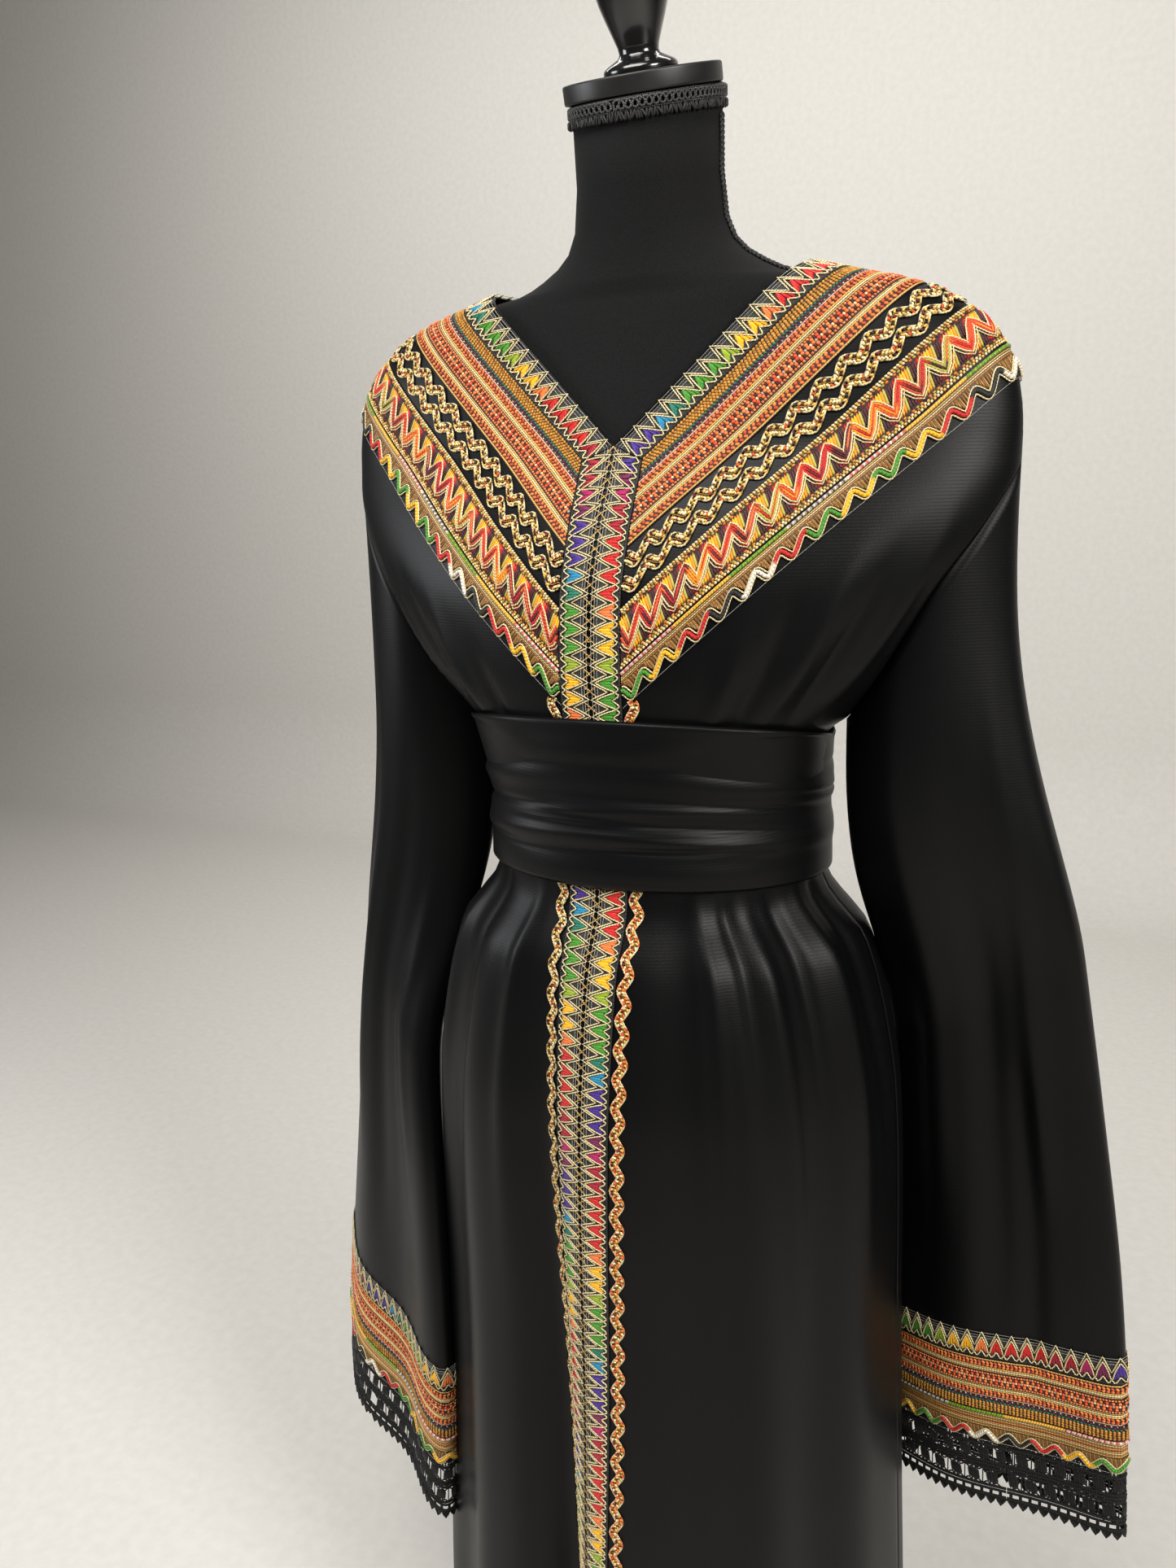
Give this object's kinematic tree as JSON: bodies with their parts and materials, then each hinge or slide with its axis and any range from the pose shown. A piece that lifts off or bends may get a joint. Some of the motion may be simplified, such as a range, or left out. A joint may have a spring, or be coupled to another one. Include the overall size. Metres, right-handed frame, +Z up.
{
  "type": "kabyle dress on dress form",
  "caption": "Long black satin dress with braided V yoke, wide lace-edged sleeves and gathered sash, standing on a limbless dress form.",
  "frame": {"origin": "middle of the underside of the stand's base, on the floor", "axes": "+Z up, -Y towards the front of the dress, +X towards the wearer's left"},
  "size_m": [0.7618, 0.3614, 1.6485],
  "materials": {
    "satin": "black satin with a soft broad sheen",
    "rainbow_braid": "braid of coloured silk teeth with cream-gold cord",
    "orange_band": "woven orange, maroon and mustard band",
    "gold_cord": "cream-gold metallic cord",
    "bronze_edging": "bronze and many-coloured corded edging",
    "black_lace": "black corded lace",
    "black_jersey": "matt black jersey",
    "black_gimp": "black braided gimp",
    "black_lacquer": "gloss black lacquer",
    "black_steel": "satin black paint"
  },
  "bodies": {
    "root": {"dress_front": "satin", "dress_back": "satin", "sleeve_left": "satin", "sleeve_right": "satin", "sash": "satin", "neck_braid_left": "rainbow_braid", "neck_braid_right": "rainbow_braid", "centre_braid_left": "rainbow_braid", "centre_braid_right": "rainbow_braid", "cuff_braid_left": "rainbow_braid", "cuff_braid_right": "rainbow_braid", "yoke_chevron_left": "orange_band", "yoke_chevron_right": "orange_band", "cuff_chevron_left": "orange_band", "cuff_chevron_right": "orange_band", "yoke_rickrack_inner_left": "gold_cord", "yoke_rickrack_inner_right": "gold_cord", "yoke_rickrack_outer_left": "gold_cord", "yoke_rickrack_outer_right": "gold_cord", "centre_rickrack_left": "gold_cord", "centre_rickrack_right": "gold_cord", "yoke_zigzag_left": "gold_cord", "yoke_zigzag_right": "gold_cord", "yoke_scallop_left": "bronze_edging", "yoke_scallop_right": "bronze_edging", "cuff_scallop_left": "bronze_edging", "cuff_scallop_right": "bronze_edging", "lace_left_outer": "black_lace", "lace_left_inner": "black_lace", "lace_right_outer": "black_lace", "lace_right_inner": "black_lace", "form_torso": "black_jersey", "form_neck_gimp": "black_gimp", "form_side_cord_left": "black_gimp", "form_side_cord_right": "black_gimp", "form_neck_disc": "black_lacquer", "form_finial": "black_lacquer", "stand_pole": "black_steel", "stand_base": "black_steel"}
  },
  "joints": []
}
